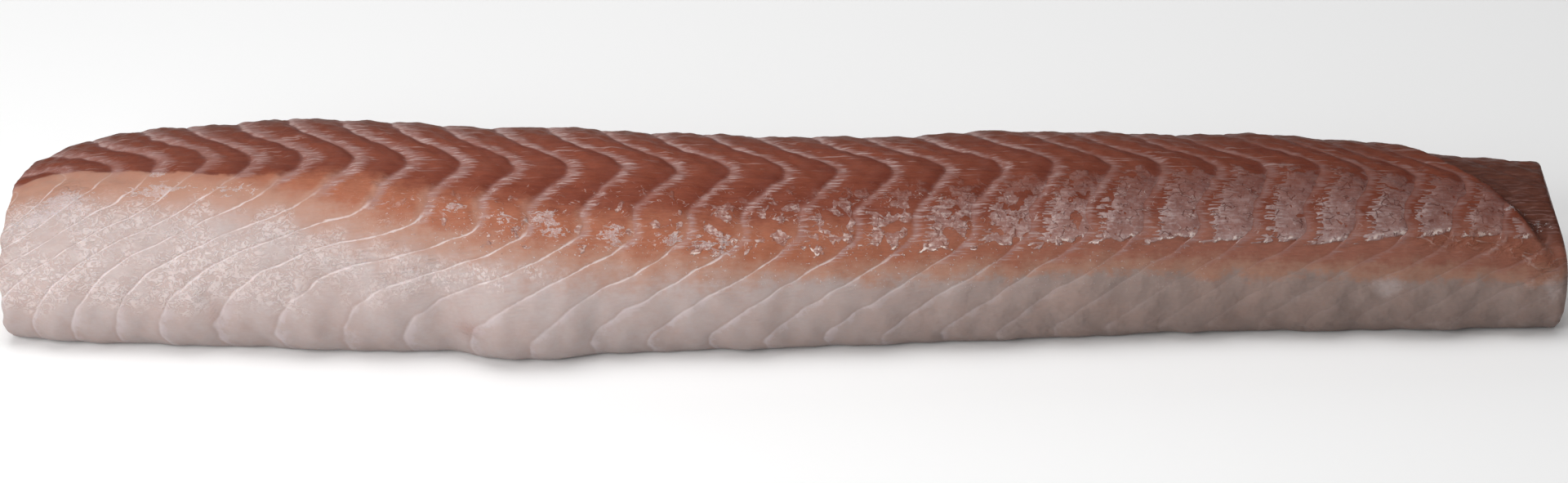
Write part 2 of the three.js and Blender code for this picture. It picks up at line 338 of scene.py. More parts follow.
def relief(x, share, flake, height, girth):
    """Height of the surface over the smooth section."""
    part = flake - np.floor(flake)
    from_edge = np.minimum(part, 1 - part) * FLAKE_PITCH
    bulge = FLAKE_BULGE * (1 + BACK_BULGE_GAIN * smoothstep(share, UPPER_ARM, SKYLINE))
    flakes = bulge * np.sin(np.pi * part) ** FLAKE_ROUNDNESS
    flakes -= FLAKE_GROOVE * bell(from_edge, 0, GROOVE_REACH)
    smooth = smoothstep(x, *TAIL_SMOOTH_SPAN) * (1 - smoothstep(share, *TAIL_SMOOTH_SHARES))
    flakes *= 1 - TAIL_SMOOTH * smooth
    lumps = 0
    for length, turns in zip(LUMP_LENGTHS, LUMP_TURNS):
        lumps += LUMP_HEIGHT / len(LUMP_LENGTHS) * np.sin(math.tau * (x / length + turns * share))
    low = bell(share, FOOT_SWELL_SHARE, FOOT_SWELL_REACH)
    lobe = FOOT_LOBE_HEIGHT * bell(x, FOOT_LOBE_X, FOOT_LOBE_REACH, 4)
    notch = FOOT_NOTCH_DEPTH * bell(x, FOOT_NOTCH_X, FOOT_NOTCH_REACH)
    foot = film_foot(x, part)
    ledge = LEDGE_HEIGHT * smoothstep(x, *LEDGE_SPAN)
    ledge *= smoothstep(share, foot, foot + LEDGE_RUN) * (1 - smoothstep(share, *LEDGE_FADES))
    past = past_crease(x, share, girth)
    tail = -TAIL_STEP_DEPTH * smoothstep(past, 0, TAIL_STEP_EDGE)
    tail *= np.exp(-np.maximum(past, 0) / TAIL_STEP_REACH)
    tail *= smoothstep(share, *TAIL_STEP_SHARES) * (1 - smoothstep(share, SKYLINE, BACK_EDGE))
    fine = flakes + lumps + ledge + tail + waves(x, share, RIPPLES)
    swell = low * (lobe - notch + waves(x, share, FOOT_WAVES))
    return smoothstep(height, 0, RELIEF_FADE_HEIGHT) * fine + swell


def head_cut(y, z):
    """X of the knife cut across the head end."""
    bulge = HEAD_BULGE * bell(z, HEAD_BULGE_HEIGHT, HEAD_BULGE_REACH)
    wave = 0
    for y_length, z_length in HEAD_WAVE_LENGTHS:
        wave += HEAD_WAVE * np.sin(math.tau * (y / y_length + z / z_length))
    return -HALF + HEAD_BULGE - bulge + HEAD_SLANT * np.maximum(y - HEAD_SLANT_START, 0) + wave


def tail_cut(y, z):
    """X of the knife cut across the tail end."""
    curl = np.where(z > TAIL_CUT_HEIGHT, TAIL_TOP_CURL, TAIL_FOOT_CURL) * (z - TAIL_CUT_HEIGHT) ** 2
    return HALF - curl - TAIL_BACK_CURL * np.maximum(y - TAIL_BACK_START, 0) ** 2


def wall_point(x, share, inset=0):
    """Y and Z of the loin's surface at a place, moved inwards by inset."""
    t = np.interp(share, SHARE_OF_GIRTH, T_OF_GIRTH)
    size = section_size(np.clip(x, -HALF, HALF))
    y, z = section_point(t, *size)
    before = section_point(np.clip(t, *SLOPE_ENDS) - SLOPE_STEP, *size)
    after = section_point(np.clip(t, *SLOPE_ENDS) + SLOPE_STEP, *size)
    run_y, run_z = after[0] - before[0], after[1] - before[1]
    run = np.hypot(run_y, run_z)
    girth = GIRTH_PER_SIZE * (size[1] + size[2])
    lift = relief(x, share, flake_at(x, share), z, girth) - inset
    return y - run_z / run * lift, z + run_y / run * lift


def cut_ends(share):
    """X at which each row of the wall meets the two knife cuts."""
    ends = []
    for start, cut in ((-HALF, head_cut), (HALF, tail_cut)):
        x = np.full_like(share, start)
        for _ in range(CUT_ROUNDS):
            x = cut(*wall_point(x, share, CUT_EDGE_RADIUS))
        ends.append(x)
    return ends


def grid_places(columns, rows):
    """The flake number of each column and the share of the girth of each row."""
    first = FLAKE_TIPS[0][0]
    column = np.arange(columns)
    flake = first + column // len(COLUMNS) + np.take(COLUMNS, column % len(COLUMNS))
    share = np.interp(np.arange(rows), *zip(*ROWS))
    return flake, share


def wall_mesh(bm):
    """The loin's side wall: a grid whose columns follow the flakes' edges, rolled up between the two cuts."""
    columns = (FLAKE_TIPS[-1][0] - FLAKE_TIPS[0][0]) * len(COLUMNS)
    rows = ROWS[-1][0] + 1
    bmesh.ops.create_grid(bm, x_segments=columns - 1, y_segments=rows - 1, size=0.5)
    flat = np.array([vert.co for vert in bm.verts])
    column = np.rint((flat[:, 0] + 0.5) * (columns - 1)).astype(int)
    row = np.rint((flat[:, 1] + 0.5) * (rows - 1)).astype(int)
    flakes, shares = grid_places(columns, rows)
    share = shares[row]
    tip = through(FLAKE_TIPS, flakes)[column]
    x = tip
    for _ in range(EDGE_ROUNDS):
        x = tip + lean(x, share)
    low, high = (ends[row] for ends in cut_ends(shares))
    x = np.clip(x, low, high)
    from_cut = np.minimum(x - low, high - x)
    roll = 1 - np.clip(from_cut / CUT_EDGE_RADIUS, 0, 1)
    inset = CUT_EDGE_RADIUS * (1 - np.sqrt(1 - roll**2))
    y, z = wall_point(x, share, inset)
    return np.column_stack([x, y, np.maximum(z, 0)]), x, share


def loin_mesh():
    """The whole loin as one closed mesh, with each vertex's place along it and round it."""
    bm = bmesh.new()
    layers = {name: bm.verts.layers.float.new(name) for name in ("along", "share", "inside")}
    places, along, share = wall_mesh(bm)
    for vert, place, x, g in zip(bm.verts, places, along, share):
        vert.co = place * MM
        vert[layers["along"]] = x
        vert[layers["share"]] = g
    bmesh.ops.remove_doubles(bm, verts=bm.verts, dist=MERGE_DISTANCE * MM)
    for side, cut in ((-1, head_cut), (1, tail_cut)):
        close_end(bm, side, cut, layers)
    bmesh.ops.remove_doubles(bm, verts=bm.verts, dist=MERGE_DISTANCE * MM)
    bmesh.ops.recalc_face_normals(bm, faces=bm.faces)
    return bm, layers


def close_end(bm, side, cut, layers):
    """Closes one open end with rings drawn in from the rim over the knife cut."""
    rim = [edge for edge in bm.edges if edge.is_boundary and edge.verts[0].co.x * side > 0]
    corners = {vert for edge in rim for vert in edge.verts}
    centre = sum((vert.co for vert in corners), Vector()) / len(corners)
    outer = 1
    for ring in CAP_RINGS:
        made = bmesh.ops.extrude_edge_only(bm, edges=rim)["geom"]
        rim = [item for item in made if isinstance(item, bmesh.types.BMEdge) and item.is_boundary]
        for vert in {vert for edge in rim for vert in edge.verts}:
            place = centre + (vert.co - centre) * ring / outer
            place.x = cut(place.y / MM, place.z / MM) * MM
            vert.co = place
            vert[layers["inside"]] = 1 - ring
        outer = ring


def place_on_body(bm):
    """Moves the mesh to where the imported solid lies: its outline is centred on the same point."""
    lowest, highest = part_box("pollock_loin")
    corners = np.array([vert.co for vert in bm.verts])
    middle = Vector((corners.min(0) + corners.max(0)) / 2)
    shift = (lowest + highest) / 2 - middle
    bmesh.ops.translate(bm, verts=bm.verts, vec=(shift.x, shift.y, 0))


# Where the flesh changes, in shares of the girth: the red muscle's front edge comes down towards the
# tail, and its back edge lies past the skyline.
RED_FRONTS = (
    (-160, 0.492),
    (-150, 0.487),
    (-143, 0.471),
    (-135, 0.458),
    (-126, 0.446),
    (-104, 0.42),
    (-85, 0.384),
    (-60, 0.355),
    (-30, 0.334),
    (0, 0.321),
    (40, 0.31),
    (90, 0.303),
    (160, 0.299),
)
RED_BACK = 0.735
RED_BACK_WAVE = 0.012
RED_BACK_LENGTH = 61

# On a cut face the flakes lie inside each other, and the red muscle is a thin lens under the skin side.
NESTED_FLAKES = 3.6
RED_SLOPE = 3.4
RIM_TO_CENTRE = 19
RIM_BLEND = 0.9
CREASE_REACH = 20

# Small things on the flesh, each one (x, share, reach along, reach round, strength).
SHREDS = (
    (-147.5, 0.405, 5, 0.018, 1),
    (-128, 0.41, 6, 0.012, 0.9),
    (-128.3, 0.444, 1.6, 0.006, 1),
    (-154, 0.385, 4, 0.01, 0.8),
    (-112, 0.405, 5, 0.01, 0.5),
    (148.5, 0.4, 3, 0.012, 0.34),
    (154, 0.375, 3, 0.012, 0.36),
    (-67, 0.389, 2, 0.013, 0.6),
    (-57, 0.37, 2.2, 0.013, 0.65),
    (-48.5, 0.376, 3.4, 0.009, 0.72),
    (-46.5, 0.357, 2, 0.011, 0.78),
    (-35, 0.353, 2.2, 0.015, 0.75),
    (-23, 0.343, 3.2, 0.009, 0.6),
    (-13, 0.337, 4, 0.014, 0.7),
)
PALE_PATCHES = (
    (123, 0.262, 4, 0.022, 1),
    (157, 0.262, 2.2, 0.04, 0.9),
    (152, 0.27, 1.4, 0.02, 0.7),
    (134, 0.2, 6, 0.02, 0.5),
    (104, 0.235, 5, 0.015, 0.4),
)
BLUSHES = (
    (-64, 0.222, 2.4, 0.012, 0.6),
    (-116, 0.235, 1.2, 0.02, 0.3),
    (-147, 0.43, 5, 0.022, 0.5),
    (-136, 0.43, 5, 0.012, 0.3),
    (141, 0.34, 4, 0.02, 0.9),
    (150, 0.325, 4, 0.02, 0.9),
    (155, 0.3, 3, 0.02, 0.7),
    (133, 0.335, 5, 0.012, 0.6),
)


def red_front(x):
    """Share of the girth where the red muscle ends towards the front."""
    return through(RED_FRONTS, x)


def above_front(x, share, girth):
    """Millimetres of girth inside the red muscle, from its nearer edge, and less than 0 outside it."""
    back = RED_BACK + RED_BACK_WAVE * np.sin(math.tau * x / RED_BACK_LENGTH)
    return np.minimum(share - red_front(x), back - share) * girth


def spots(x, share, table):
    """How strongly any of a table's spots covers a place."""
    total = 0
    for centre, level, along, around, strength in table:
        total = total + strength * bell(x, centre, along) * bell(share, level, around)
    return total


def flesh_values(along, share, inside):
    """What each material needs to know at each vertex, by the name of its attribute."""
    size = section_size(np.clip(along, -HALF, HALF))
    girth = GIRTH_PER_SIZE * (size[1] + size[2])
    flake = flake_at(along, share)
    above = above_front(along, share, girth)
    for end in (along < 0, along > 0):
        rim = end & (inside > 0)
        mixed = smoothstep(inside[rim], 0, RIM_BLEND)
        flake[rim] += mixed * (flake[rim].mean() - flake[rim]) + NESTED_FLAKES * inside[rim]
    return {
        "flake": flake,
        "above": above - RED_SLOPE * RIM_TO_CENTRE * inside,
        "crease": np.clip(past_crease(along, share, girth), -CREASE_REACH, CREASE_REACH),
        "lip": (share - film_foot(along, flake - np.floor(flake))) * girth,
        "share": share,
        "along": along,
        "shreds": spots(along, share, SHREDS),
        "patches": spots(along, share, PALE_PATCHES),
        "blush": spots(along, share, BLUSHES),
    }


def loin_object():
    """The loin as one finished piece, smooth shaded, with its flesh values as attributes."""
    bm, layers = loin_mesh()
    place_on_body(bm)
    along, share, inside = (np.array([vert[layers[name]] for vert in bm.verts]) for name in layers)
    for face in bm.faces:
        face.smooth = True
        face.material_index = int(any(vert[layers["inside"]] > 0 for vert in face.verts))
    for name in list(layers):
        bm.verts.layers.float.remove(bm.verts.layers.float[name])
    mesh = bpy.data.meshes.new("loin")
    bm.to_mesh(mesh)
    bm.free()
    for name, values in flesh_values(along, share, inside).items():
        attribute = mesh.attributes.new(name, "FLOAT", "POINT")
        attribute.data.foreach_set("value", values.astype(np.float32))
    loin = bpy.data.objects.new("loin", mesh)
    bpy.context.scene.collection.objects.link(loin)
    return loin


def colour(red, green, blue):
    """A colour as a screen shows it, from 0 to 255, turned into what a shader takes."""
    return (*(((value / 255 + 0.055) / 1.055) ** 2.4 for value in (red, green, blue)), 1)


PALE = colour(179, 165, 162)
PALE_TAIL = colour(156, 135, 127)
ROSE = colour(172, 146, 138)
PEACH = colour(170, 127, 108)
ORANGE = colour(154, 88, 61)
RUSSET = colour(150, 92, 76)
BRICK = colour(126, 62, 42)
DEEP_RED = colour(98, 39, 25)
OLIVE_BROWN = colour(84, 48, 35)
PURPLE = colour(98, 54, 55)
MAUVE = colour(150, 112, 106)
FIBRE_WHITE = colour(186, 160, 155)
LINE_WHITE = colour(222, 208, 207)
LAVENDER = colour(190, 176, 177)
# Pale flecks and patches of the flesh, and also painted wet sheen and highlights.
FLECK_AND_SHEEN = colour(214, 200, 198)
# Painted shade, in the grooves beside the pale lines and in the valleys between wet curls.
VALLEY_SHADE = colour(160, 128, 116)
FILM = colour(146, 110, 105)
FILM_LIGHT = colour(192, 168, 165)
TORN_WHITE = colour(212, 188, 182)
CRACK = colour(92, 44, 36)
GLINT = colour(250, 230, 222)
# Painted shade, in the dark band along the tail's crease.
CREASE_SHADE = colour(60, 30, 23)
FACET_BROWN = colour(86, 46, 34)
FACET_STREAK = colour(104, 58, 43)
CURL_ORANGE = colour(136, 74, 47)

# How much darker the colour is made: painted shade towards the tail end, away from the key lamp, and under
# the foot, towards the table; and a darker red at the head end of the muscle.
TAIL_SHADE = 0.72
TAIL_SHADE_SPAN = (-60, 130)
TAIL_PALE_SPAN = (-50, 100)
HEAD_SHADE = 0.87
HEAD_SHADE_SPAN = (-110, -60)
FOOT_SHADE = 0.68
FOOT_SHADE_SHARES = (0.15, 0.27)

# How strongly the bump shows, and how far each thing stands out in it, in millimetres.
BUMP_STRENGTH = 0.9
FIBRE_BUMP = 0.11
FLECK_BUMP = 0.1
SWELL_BUMP = 0.12
BLUSH_BUMP = 1.3
FOLD_BUMP = 3
SHRED_BUMP = 0.1
LINE_BUMP = 0.03
FILM_BUMP = 0.1
CRUMPLE_BUMP = 0.09
GLINT_BUMP = 0.12
THREAD_BUMP = 0.05
GRAIN_BUMP = 0.35
NESTED_BUMP = 0.2


class Value:
    """A number, colour or place in a shader graph, so that a pattern is written as a formula."""

    def __init__(self, graph, socket):
        self.graph = graph
        self.socket = socket

    def __add__(self, other):
        return self.graph.math("ADD", self, other)

    def __radd__(self, other):
        return self.graph.math("ADD", other, self)

    def __sub__(self, other):
        return self.graph.math("SUBTRACT", self, other)

    def __rsub__(self, other):
        return self.graph.math("SUBTRACT", other, self)

    def __mul__(self, other):
        return self.graph.math("MULTIPLY", self, other)

    def away(self, centre):
        """Distance from a centre."""
        return self.graph.math("ABSOLUTE", self - centre)

    def rising(self, low, high, first=0, last=1):
        """From first at low to last at high, as a smooth step."""
        inputs = {"Value": self, "From Min": low, "From Max": high, "To Min": first, "To Max": last}
        return self.graph.value("ShaderNodeMapRange", "Result", inputs, interpolation_type="SMOOTHSTEP")

    def falling(self, low, high):
        return self.rising(low, high, 1, 0)

    def within(self, start, full, fade, end):
        """1 between full and fade, and 0 before start and past end."""
        return self.rising(start, full) * self.falling(fade, end)

    def stretched(self, scales, offset=(0, 0, 0)):
        """A place scaled along each axis and then moved."""
        inputs = {0: self, 1: scales, 2: offset}
        return self.graph.value("ShaderNodeVectorMath", 0, inputs, operation="MULTIPLY_ADD")

    def noise(self, scale, detail=2, roughness=0.5, distortion=0):
        inputs = {"Vector": self, "Scale": scale, "Detail": detail}
        inputs |= {"Roughness": roughness, "Distortion": distortion}
        return self.graph.value("ShaderNodeTexNoise", 0, inputs)

    def bent(self, scale):
        """A place moved a little by noise, so that straight borders wander."""
        inputs = {0: self, 1: self.noise(scale)}
        return self.graph.value("ShaderNodeVectorMath", 0, inputs, operation="ADD")

    def cells(self, scale, feature, output):
        inputs = {"Vector": self, "Scale": scale}
        return self.graph.value("ShaderNodeTexVoronoi", output, inputs, feature=feature)

    def cell_numbers(self, scale):
        """A number from 0 to 1 for each cell."""
        return self.graph.value("ShaderNodeSeparateColor", 0, {0: self.cells(scale, "F1", "Color")})

    def cell_borders(self, scale):
        """Distance from the nearest border between two cells."""
        return self.cells(scale, "DISTANCE_TO_EDGE", "Distance")


class Graph:
    """Adds a material's or group's shader nodes and joins them."""

    def __init__(self, tree):
        self.tree = tree

    def feed(self, socket, value):
        if isinstance(value, Value):
            self.tree.links.new(value.socket, socket)
        else:
            socket.default_value = value

    def node(self, kind, inputs=(), **settings):
        node = self.tree.nodes.new(kind)
        for name, value in settings.items():
            setattr(node, name, value)
        for name, value in dict(inputs).items():
            self.feed(node.inputs[name], value)
        return node

    def value(self, kind, output, inputs=(), **settings):
        return Value(self, self.node(kind, inputs, **settings).outputs[output])

    def math(self, operation, a, b=0):
        return self.value("ShaderNodeMath", 0, {0: a, 1: b}, operation=operation)

    def smallest(self, a, b):
        return self.math("MINIMUM", a, b)

    def largest(self, a, b):
        return self.math("MAXIMUM", a, b)

    def mix(self, share, a, b, blend="MIX"):
        """Colours a and b mixed. The node takes them at its inputs 6 and 7."""
        return self.value("ShaderNodeMix", 2, {0: share, 6: a, 7: b}, data_type="RGBA", blend_type=blend)

    def scaled(self, tint, share):
        """A colour made darker or lighter by a share of itself."""
        grey = self.value("ShaderNodeCombineColor", 0, {0: share, 1: share, 2: share})
        return self.mix(1, tint, grey, "MULTIPLY")

    def attribute(self, name):
        return self.value("ShaderNodeAttribute", "Fac", attribute_name=name)

    def millimetres(self):
        """Object coordinates in millimetres."""
        return self.value("ShaderNodeTexCoord", "Object").stretched((1 / MM, 1 / MM, 1 / MM))

    def bump(self, height):
        """The surface's normal where a height in millimetres stands out of it."""
        return self.value("ShaderNodeBump", 0, {"Strength": BUMP_STRENGTH, "Distance": MM, "Height": height})

    def group(self, tree, **inputs):
        """A node group's outputs, by name."""
        node = self.node("ShaderNodeGroup", inputs, node_tree=tree)
        return {output.name: Value(self, output) for output in node.outputs}


def new_group(name, inputs, outputs):
    """An empty shader node group with its graph and its inner input and output nodes."""
    tree = bpy.data.node_groups.new(name, "ShaderNodeTree")
    for title, kind in inputs:
        tree.interface.new_socket(title, in_out="INPUT", socket_type=kind)
    for title, kind in outputs:
        tree.interface.new_socket(title, in_out="OUTPUT", socket_type=kind)
    graph = Graph(tree)
    given = {socket.name: Value(graph, socket) for socket in tree.nodes.new("NodeGroupInput").outputs}
    taken = tree.nodes.new("NodeGroupOutput").inputs
    return tree, graph, given, taken


FLOAT = "NodeSocketFloat"
VECTOR = "NodeSocketVector"


def fibre_group():
    """Grain of muscle fibres, which run along the fish: fine and coarse streaks, and long thin threads."""
    names = ("Fine", "Coarse", "Threads", "Grain")
    outputs = [(name, FLOAT) for name in names]
    tree, graph, given, taken = new_group("muscle fibres", [("Place", VECTOR)], outputs)
    place = given["Place"]
    scales = {"Fine": (0.2, 2.4, 2.4), "Coarse": (0.07, 0.8, 0.8), "Threads": (0.035, 1.2, 1.2)}
    for name, scale in scales.items():
        graph.feed(taken[name], place.stretched(scale).noise(1, 3, 0.55))
    graph.feed(taken["Grain"], place.stretched((0.7, 2.6, 2.6)).noise(1, 2, 0.6))
    return tree


def flake_edge_group():
    """A flake's edge: where a place lies between two edges, and the ragged band of fibre behind each one."""
    inputs = [(name, FLOAT) for name in ("Flake", "Streaks", "Width", "Ragged", "Softness")]
    outputs = [(name, FLOAT) for name in ("Part", "Past", "Signed", "Band")]
    tree, graph, given, taken = new_group("flake edge", inputs, outputs)
    part = graph.math("FRACT", given["Flake"])
    signed = graph.math("FRACT", given["Flake"] + 0.5) - 0.5
    signed *= FLAKE_PITCH
    frayed = signed - (given["Streaks"] - 0.5) * given["Ragged"]
    front = signed.rising(given["Softness"] * -1, given["Softness"])
    back = frayed.falling(given["Width"] * 0.4, given["Width"] * 1.4)
    graph.feed(taken["Part"], part)
    graph.feed(taken["Past"], part * FLAKE_PITCH)
    graph.feed(taken["Signed"], signed)
    graph.feed(taken["Band"], front * back)
    return tree


def wrinkle_group():
    """Wet surface tissue: fine curls as ridges and valleys, dense where Cover is high, and broad swells."""
    inputs = [("Place", VECTOR), ("Cover", FLOAT), ("Sparse", FLOAT)]
    outputs = [("Ridges", FLOAT), ("Valleys", FLOAT), ("Swells", FLOAT)]
    tree, graph, given, taken = new_group("wet wrinkles", inputs, outputs)
    place = given["Place"]
    patches = place.stretched((1, 1, 1), (31, 7, 3)).noise(0.14, 3, 0.6)
    fullness = patches - 0.5 + given["Cover"] * 0.24
    gate = fullness.rising(0.06, 0.28)
    curls = place.stretched((0.8, 1.1, 1.1), (5, 0, 9)).noise(0.75, 2, 0.55, 0.7)
    contours = graph.math("SINE", curls * 26)
    flecks = place.stretched((1.2, 0.9, 0.9), (2, 4, 0)).noise(1.3, 2, 0.55, 0.6)
    flecks = flecks.rising(0.5, 0.57)
    ridges = graph.mix(given["Sparse"], contours.rising(-0.1, 0.7), flecks)
    graph.feed(taken["Ridges"], ridges * gate)
    graph.feed(taken["Valleys"], contours.falling(-1, -0.1) * gate)
    graph.feed(taken["Swells"], patches.rising(0.4, 0.65))
    return tree


def new_material(name):
    """A material with its graph, its shader and its output node joined."""
    material = bpy.data.materials.new(name)
    material.use_nodes = True
    material.node_tree.nodes.clear()
    graph = Graph(material.node_tree)
    shader = graph.node("ShaderNodeBsdfPrincipled")
    graph.node("ShaderNodeOutputMaterial", {"Surface": Value(graph, shader.outputs[0])})
    return material, graph, shader


def wet_flesh(shader):
    """The even settings of raw flesh: light goes a little way in, and the wet surface shines softly."""
    settings = {"IOR": 1.36, "Specular IOR Level": 0.26, "Subsurface Weight": 0.2, "Subsurface Scale": 0.0012}
    settings |= {"Coat Roughness": 0.22, "Coat IOR": 1.35}
    for name, value in settings.items():
        shader.inputs[name].default_value = value
    shader.inputs["Subsurface Radius"].default_value = (1, 0.45, 0.28)


def ground_colours(graph, place, fibres, edge, names):
    """The flesh's ground colours: red muscle over the top, orange and peach where it ends, then pale."""
    above, along, share, part = names["above"], names["along"], names["share"], edge["Part"]
    blotches = place.noise(0.16, 3, 0.55)
    mottles = place.noise(0.7, 3, 0.6)
    wander = (blotches - 0.5) * 6 + (mottles - 0.5) * 4
    streak = (fibres["Coarse"] - 0.5) * 3
    towards_tail = along.rising(-125, -80, 0.15, 1)
    edge_height = above + (wander + streak) * towards_tail
    pale = graph.mix(along.rising(*TAIL_PALE_SPAN), PALE, PALE_TAIL)
    pale = graph.mix(blotches.rising(0.35, 0.75, 0, 0.16), pale, PEACH)
    pale = graph.mix(mottles.rising(0.3, 0.75, 0, 0.25), pale, ROSE)
    peach_from = along.rising(-110, 70, -14.5, -4.5)
    peach_full = along.rising(-125, -85, -5.5, -2)
    ground = graph.mix(edge_height.rising(peach_from, peach_full, 0, 0.95), pale, PEACH)
    pockets = part.within(0.02, 0.25, 0.75, 0.98)
    orange = along.rising(-140, -105, 0.42, 0.86)
    orange *= along.rising(-60, 40, pockets.rising(0, 1, 0.4, 1), 1)
    orange_from = along.rising(-90, 70, -5.2, -2.5)
    deep_orange = graph.mix(along.rising(-10, 90), ORANGE, RUSSET)
    ground = graph.mix(edge_height.rising(orange_from, 1.5) * orange, ground, deep_orange)
    # The red deepens before each flake's edge: partly the muscle's own colour, partly painted shade where the
    # flake's surface falls towards the next edge.
    before_edge = part.rising(0.45, 0.97) * share.within(0.38, 0.43, 0.54, 0.6)
    deeper = before_edge * 0.5 + fibres["Coarse"].rising(0.42, 0.66, 0, 0.3)
    red = graph.mix(graph.smallest(deeper, 1), BRICK, DEEP_RED)
    # Towards the skyline the red turns olive-brown: partly the muscle's own browner tone, partly painted
    # shade where light grazes the top.
    red = graph.mix(share.rising(0.53, 0.63, 0, 0.65), red, OLIVE_BROWN)
    red = graph.scaled(red, along.rising(*HEAD_SHADE_SPAN, HEAD_SHADE, 1))
    low = along.rising(-115, -85, -0.3, 3)
    high = along.rising(-115, -85, 0.5, 11)
    in_red = edge_height.rising(low, high)
    ground = graph.mix(in_red, ground, red)
    seam = above.within(-0.7, -0.1, 0.1, 0.8) * along.falling(-110, -85)
    seam *= blotches.rising(0.42, 0.6)
    return graph.mix(seam * 0.7, ground, DEEP_RED), in_red


def fibre_bands(graph, tint, place, fibres, edge, names, in_red):
    """The mauve bands behind the flakes' edges in the red muscle, with their white fibres."""
    along, share, past = names["along"], names["share"], edge["Past"]
    over_top = share.rising(0.5, 0.56)
    faint_tail = along.rising(30, 110, 0, 0.85) * over_top
    on_red = names["above"].rising(-2.5, 1.5) * along.rising(50, 130, 1, 0.75)
    on_red *= 1 - faint_tail
    brushed = along.rising(-120, -75, 0.3, 1) * along.rising(20, 100, 1, 0.3)
    halo = edge["Part"].rising(0.86, 1) * over_top * on_red * 0.35
    tint = graph.mix(halo, tint, PURPLE)
    band = edge["Band"] * on_red
    blurs = fibres["Coarse"].rising(0.34, 0.6)
    clouds = place.noise(0.28, 2, 0.6).rising(0.38, 0.58)
    cover = graph.smallest(blurs, clouds).rising(0, 1, 0.45, 0.86)
    tint = graph.mix(band * cover, tint, MAUVE)
    strokes = fibres["Fine"].rising(0.47, 0.68)
    tint = graph.mix(strokes * band * brushed * blurs.rising(0, 1, 0.25, 0.7), tint, FIBRE_WHITE)
    hairs = fibres["Fine"].rising(0.57, 0.7) * past.falling(1.5, 5)
    tint = graph.mix(hairs * on_red * brushed * 0.35, tint, FIBRE_WHITE)
    arm = edge["Signed"].within(-0.2, 0.3, 0.6, 1.4) * over_top * on_red * blurs
    tint = graph.mix(arm * 0.55, tint, FIBRE_WHITE)
    threads = fibres["Threads"].rising(0.62, 0.66) * share.rising(0.43, 0.48)
    threads = threads * past.falling(5, 9) * in_red * 0.4
    return graph.mix(threads, tint, FIBRE_WHITE)


def pale_lines(graph, tint, place, edge, names):
    """The thin white lines on the flakes' edges in the pale flesh, wider and bluer at the foot, with painted
    groove shade on their head side.
    """
    above, along, share, signed = names["above"], names["along"], names["share"], edge["Signed"]
    on_pale = above.falling(-1, 2) * share.rising(0.1, 0.17)
    on_pale *= along.rising(-10, 85, 1, 0.1)
    near_red = above.rising(-7, -1.5) * along.falling(-105, -75) * 0.8
    on_pale *= 1 - near_red
    uneven = place.noise(0.3, 3, 0.65)
    foot = share.falling(0.22, along.rising(-110, -50, 0.28, 0.32))
    # Painted shade: a dark strip where the groove beside each line would be in shadow.
    shade = signed.within(-1.3, -0.6, -0.3, 0) * on_pale * 0.12
    tint = graph.mix(shade, tint, VALLEY_SHADE)
    halo = signed.within(-0.5, 0.1, 0.3, uneven.rising(0.4, 0.62, 0.7, 2.8))
    feathered = uneven.rising(0.36, 0.6, 0.3, 0.75)
    tint = graph.mix(halo * foot * on_pale * feathered, tint, LAVENDER)
    width = uneven.rising(0.4, 0.7, 0.06, 0.34)
    line = signed.away(0).falling(width * 0.4, width + 0.34)
    line = line * on_pale * uneven.rising(0.32, 0.55, 0.35, 1)
    line *= foot.rising(0, 1, 1, 0.25)
    return graph.mix(line * 0.66, tint, LINE_WHITE), line


def surface_flecks(graph, tint, place, wrinkle_tree, names):
    """Curled wet tissue on the loin's front, with painted highlights and shade, and tiny speckles where the
    red muscle ends.
    """
    above, along, share = names["above"], names["along"], names["share"]
    low = along.rising(-110, -20, 0.215, 0.285)
    cover = along.falling(-45, 5) * above.falling(-10.5, -3.5)
    cover *= share.rising(low, low + 0.05)
    sparse = along.rising(-105, -60)
    wrinkles = graph.group(wrinkle_tree, Place=place, Cover=cover, Sparse=sparse)
    shown = cover.rising(0, 0.4)
    swells = wrinkles["Swells"] * cover
    # Painted sheen: broad lighter swells of the wet surface.
    tint = graph.mix(swells * 0.2, tint, FLECK_AND_SHEEN)
    # Painted shade: darker valleys between the curls.
    valleys = wrinkles["Valleys"] * shown * along.rising(-100, -60, 0.24, 0)
    tint = graph.mix(valleys, tint, VALLEY_SHADE)
    # Painted highlights on the curls' ridges towards the head; further along they are the flesh's own pale
    # flecks.
    ridges = wrinkles["Ridges"] * shown
    tint = graph.mix(ridges * along.rising(-105, -60, 0.36, 0.58), tint, FLECK_AND_SHEEN)
    speckles = place.stretched((1.7, 2.2, 2.2)).noise(1, 1, 0.5).rising(0.68, 0.73)
    speckles *= above.within(-8, -4, 1, 6)
    speckles *= along.within(-100, -60, 40, 110)
    tint = graph.mix(speckles * 0.6, tint, FLECK_AND_SHEEN)
    raised = swells * 0.6 - valleys
    return tint, graph.largest(ridges * 0.7, speckles), raised


